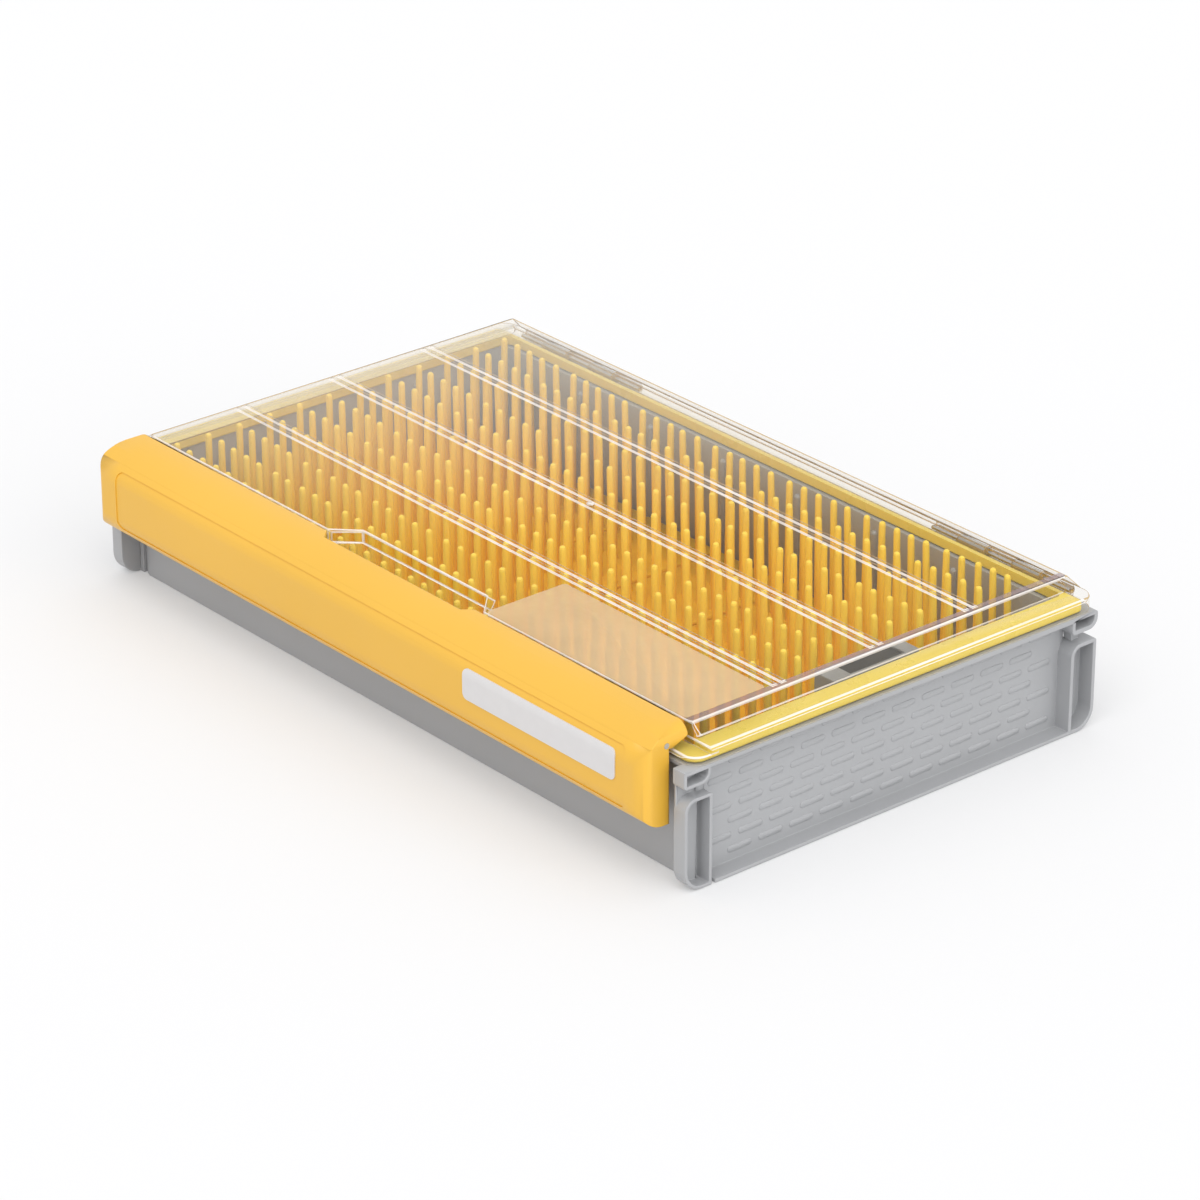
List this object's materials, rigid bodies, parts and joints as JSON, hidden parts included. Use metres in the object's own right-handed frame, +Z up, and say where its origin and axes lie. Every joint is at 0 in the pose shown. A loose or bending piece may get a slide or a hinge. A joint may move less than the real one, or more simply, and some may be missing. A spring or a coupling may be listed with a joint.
{
  "type": "tackle box",
  "caption": "Flat tackle box for hard lures: grey tub, soft yellow tine mats, sealed clear hinged lid, full-width yellow latch and moisture cartridge.",
  "frame": {"origin": "middle of the tub's underside", "axes": "+X along the latch side, to the right as seen from the latch; +Y towards the hinges; +Z up"},
  "size_m": [0.3636, 0.2254, 0.0639],
  "materials": {
    "tub_grey": "satin moulded",
    "tine_yellow": "soft matte",
    "holder_grey": "satin moulded",
    "cartridge_dark": "matte",
    "pin_steel": "drawn",
    "lid_clear": "clear gloss",
    "seal_yellow": "soft satin",
    "latch_yellow": "satin moulded",
    "label_white": "matte"
  },
  "bodies": {
    "base": {"tub": "tub_grey", "tine_mat_1": "tine_yellow", "tine_mat_2": "tine_yellow", "tine_mat_3": "tine_yellow", "tine_mat_4": "tine_yellow", "tine_mat_5": "tine_yellow", "tine_mat_6": "tine_yellow", "tine_mat_7": "tine_yellow", "moisture_holder": "holder_grey", "moisture_cartridge": "cartridge_dark", "hinge_pin_left": "pin_steel", "hinge_pin_right": "pin_steel"},
    "lid": {"lid_shell": "lid_clear", "lid_seal": "seal_yellow", "latch_pin": "pin_steel"},
    "latch": {"latch_cover": "latch_yellow", "label_plate": "label_white"}
  },
  "joints": [
    {"name": "lid_hinge", "type": "hinge", "parent": "base", "child": "lid", "pos_m": [0, 0.104, 0.054], "axis": [-1, 0, 0], "range_deg": [0, 110]},
    {"name": "latch_swing", "type": "hinge", "parent": "lid", "child": "latch", "pos_m": [0, -0.1067, 0.0576], "axis": [-1, 0, 0], "range_deg": [0, 22]}
  ]
}
